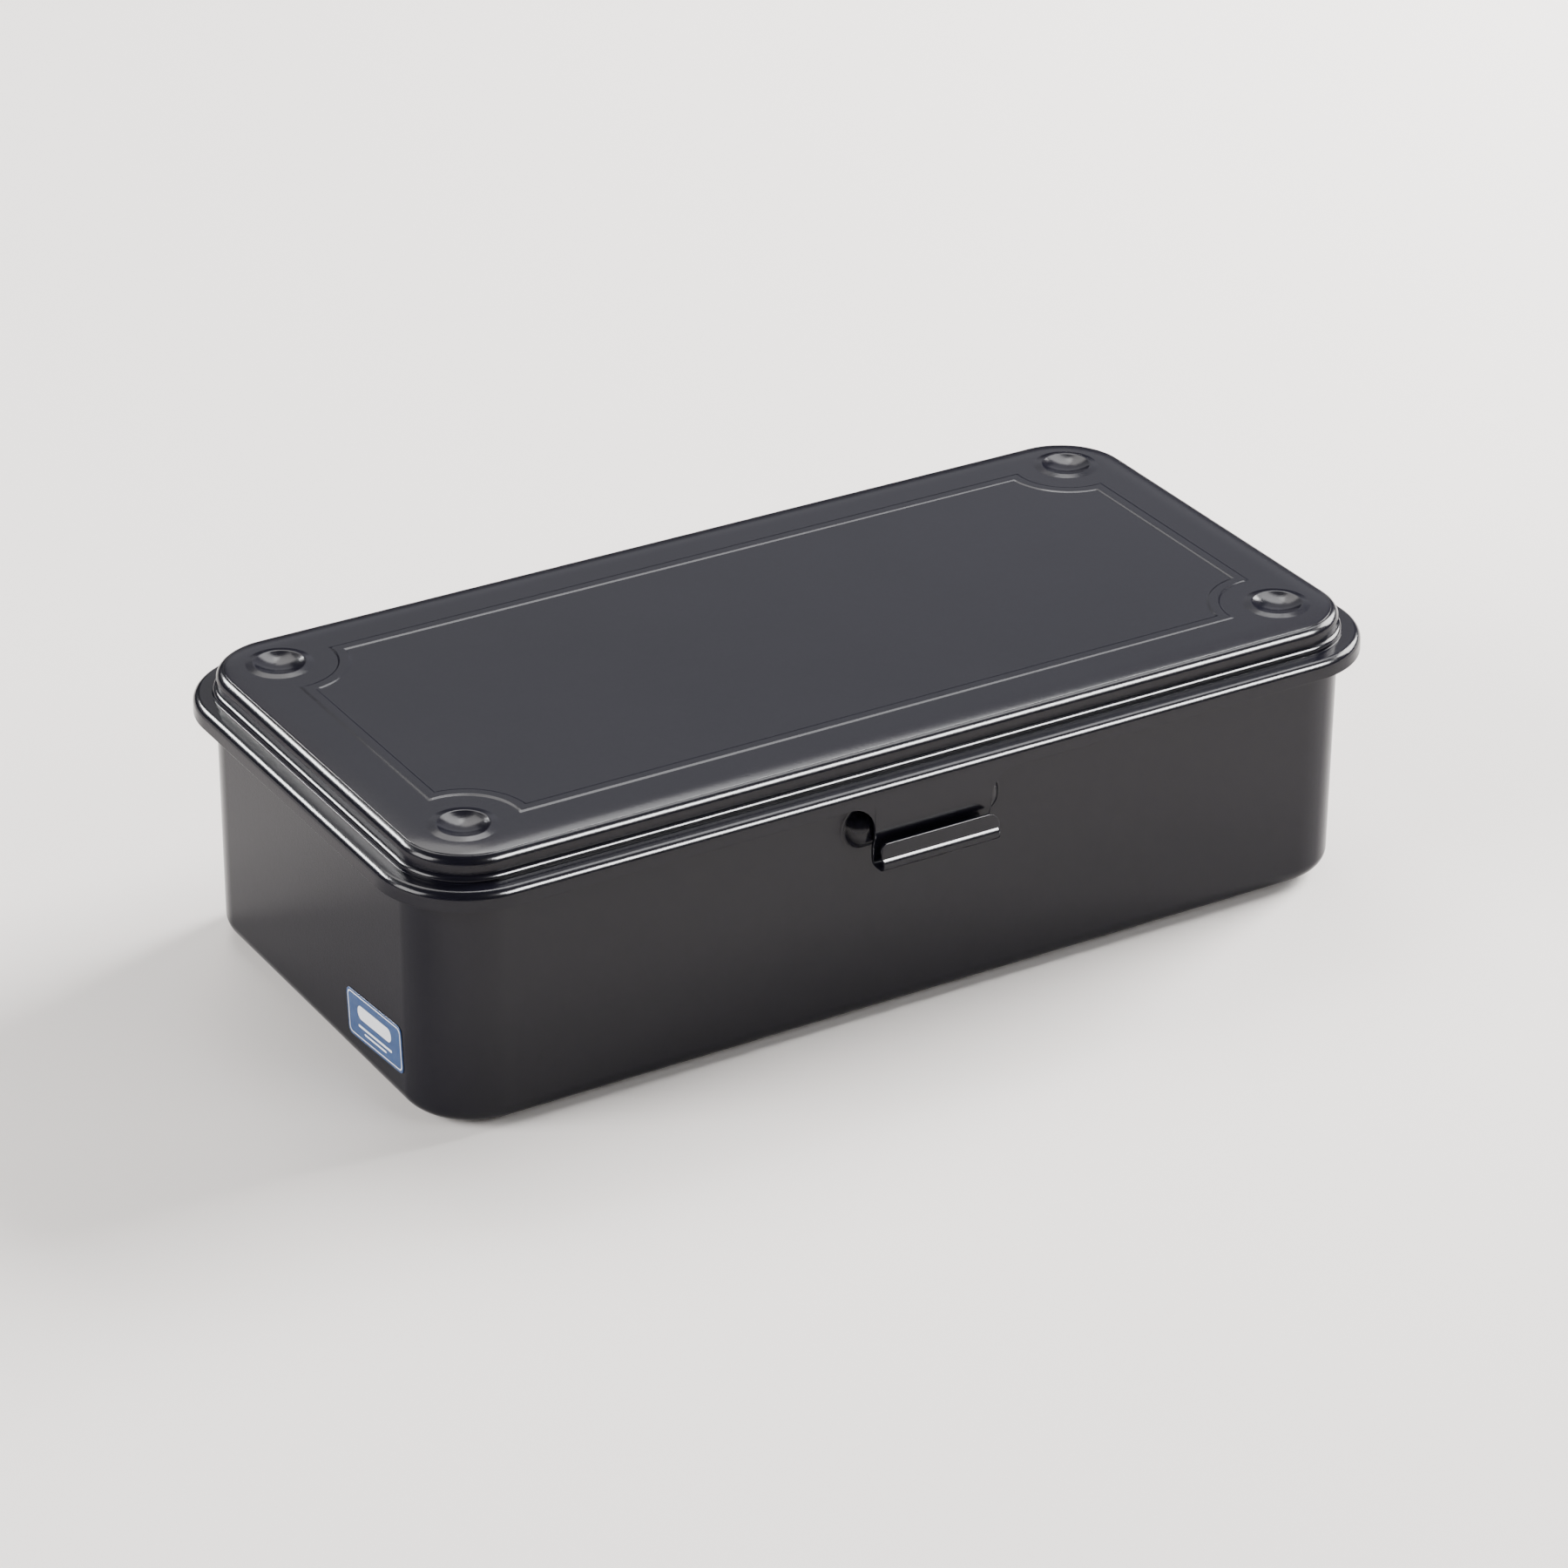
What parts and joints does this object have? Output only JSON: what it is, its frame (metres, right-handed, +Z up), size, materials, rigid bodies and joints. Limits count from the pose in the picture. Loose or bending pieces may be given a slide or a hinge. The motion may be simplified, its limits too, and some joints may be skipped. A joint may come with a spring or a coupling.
{
  "type": "pressed steel storage box",
  "caption": "Long, low, round-cornered pressed steel box with a hinged stepped lid, stacking dimples, a curled front pull tab and pressed feet.",
  "frame": {"origin": "under the middle of the whole footprint, pull tab and hinges included, on the surface that the feet stand on", "axes": "+X along the length, -Y the front with the pull tab, +Z up"},
  "size_m": [0.203, 0.1078, 0.0556],
  "materials": {
    "satin_paint": "satin black paint with a fine orange peel",
    "pin_steel": "drawn steel wire",
    "rivet_steel": "bright steel, lightly dulled",
    "label_film": "glossy printed film"
  },
  "bodies": {
    "tray": {"body_shell": "satin_paint", "left_hinge_leaf": "satin_paint", "right_hinge_leaf": "satin_paint", "left_hinge_pin": "pin_steel", "right_hinge_pin": "pin_steel", "hinge_rivets": "rivet_steel", "side_label": "label_film"},
    "lid": {"lid_shell": "satin_paint"}
  },
  "joints": [
    {"name": "lid_hinge", "type": "hinge", "parent": "tray", "child": "lid", "pos_m": [0, 0.05197, 0.04385], "axis": [-1, 0, 0], "range_deg": [0, 108]}
  ]
}
